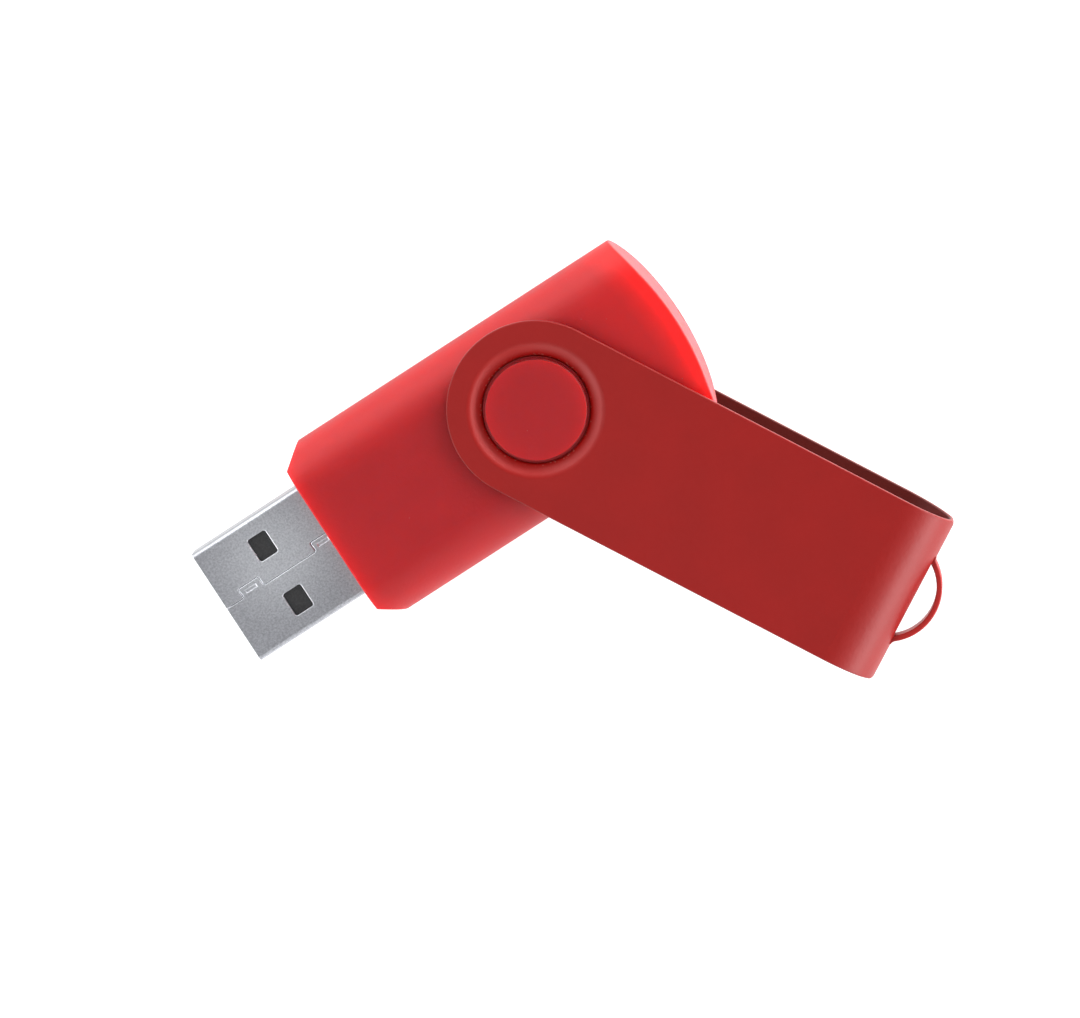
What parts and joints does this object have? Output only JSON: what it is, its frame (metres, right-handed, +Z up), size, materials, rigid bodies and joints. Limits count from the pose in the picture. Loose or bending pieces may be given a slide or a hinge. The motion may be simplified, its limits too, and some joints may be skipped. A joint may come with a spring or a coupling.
{
  "type": "usb flash drive",
  "caption": "Pocket memory stick with a standard rectangular plug and a folded sheet-metal cover that swivels right round the case on two round bosses.",
  "frame": {"origin": "on the cover's pivot axis, at the resting plane under the drive", "axes": "+X along the case from the pivot to its round end, so the plug points along -X; +Z up through the flat faces, with the plug's seam side up"},
  "size_m": [0.0619, 0.0482, 0.0104],
  "materials": {
    "case_plastic": "satin red moulded plastic, slightly translucent",
    "cover_paint": "satin dark red paint on formed sheet steel",
    "plug_steel": "fine-grained nickel plate",
    "insulator_plastic": "black moulded liquid-crystal polymer",
    "contact_gold": "gold flash over copper alloy",
    "board_laminate": "green solder mask over glass-epoxy laminate",
    "chip_plastic": "black epoxy moulding compound",
    "tinned_metal": "bright tin plate",
    "can_steel": "drawn plated can",
    "capacitor_ceramic": "fired ceramic",
    "resistor_ceramic": "glazed ceramic",
    "led_resin": "clear cast resin",
    "solder": "bright solder"
  },
  "bodies": {
    "case": {"upper_case": "case_plastic", "lower_case": "case_plastic", "plug_shell": "plug_steel", "plug_insulator": "insulator_plastic", "contact_power": "contact_gold", "contact_data_minus": "contact_gold", "contact_data_plus": "contact_gold", "contact_ground": "contact_gold", "circuit_board": "board_laminate", "board_pads": "contact_gold", "memory_chip": "chip_plastic", "memory_chip_leads": "tinned_metal", "controller_chip": "chip_plastic", "controller_chip_leads": "tinned_metal", "crystal_can": "can_steel", "crystal_base": "can_steel", "crystal_leads": "tinned_metal", "voltage_regulator": "chip_plastic", "voltage_regulator_leads": "tinned_metal", "capacitors": "capacitor_ceramic", "capacitor_terminals": "tinned_metal", "resistors": "resistor_ceramic", "resistor_terminals": "tinned_metal", "indicator_led": "led_resin", "led_terminals": "tinned_metal", "contact_solder_joints": "solder", "shell_solder_joints": "solder"},
    "cover": {"swivel_cover": "cover_paint"}
  },
  "joints": [
    {"name": "cover_swivel", "type": "hinge", "parent": "case", "child": "cover", "pos_m": [0, 0, 0.00519], "axis": [0, 0, 1], "continuous": true}
  ]
}
